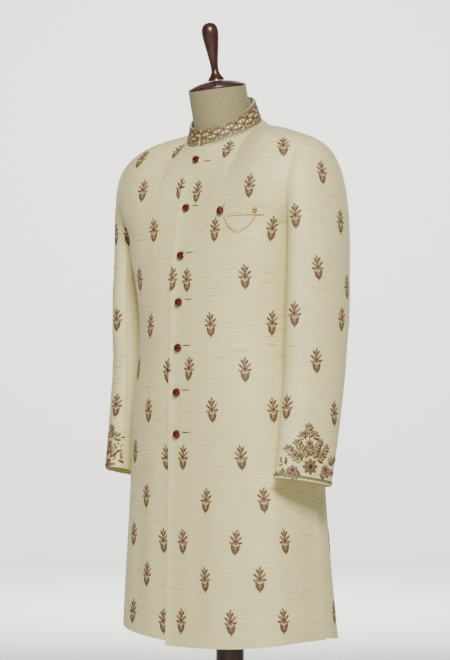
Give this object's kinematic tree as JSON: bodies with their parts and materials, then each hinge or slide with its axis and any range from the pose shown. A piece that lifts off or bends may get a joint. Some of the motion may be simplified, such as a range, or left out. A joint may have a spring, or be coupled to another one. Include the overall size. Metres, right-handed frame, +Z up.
{
  "type": "sherwani coat on dress form",
  "caption": "Knee-length embroidered sherwani coat with a stand collar, buttoned front and breast brooch, worn by a limbless dress form on a pole stand.",
  "frame": {"origin": "on the floor under the middle of the pole, at the centre of the base's flat underside", "axes": "+Z up, -Y out of the coat's front, +X to the wearer's left"},
  "size_m": [0.5666, 0.42, 1.7772],
  "materials": {
    "silk": "ivory raw silk with slubs",
    "braid": "narrow olive braid",
    "ruby": "dark red faceted stone",
    "gold": "polished gold plate",
    "linen": "plain linen cover",
    "wood": "dark polished walnut"
  },
  "bodies": {
    "root": {"front_left": "silk", "front_right": "silk", "back_left": "silk", "back_right": "silk", "sleeve_left_top": "silk", "sleeve_left_under": "silk", "sleeve_right_top": "silk", "sleeve_right_under": "silk", "collar": "silk", "welt_pocket": "silk", "collar_edge_top": "braid", "collar_edge_base": "braid", "cuff_braid_left": "braid", "cuff_braid_right": "braid", "button_1": "ruby", "button_2": "ruby", "button_3": "ruby", "button_4": "ruby", "button_5": "ruby", "button_6": "ruby", "button_7": "ruby", "brooch_head": "ruby", "brooch_pin": "gold", "brooch_chain": "gold", "form_torso": "linen", "neck_cap": "wood", "finial": "wood", "pole": "wood", "base": "wood"}
  },
  "joints": []
}
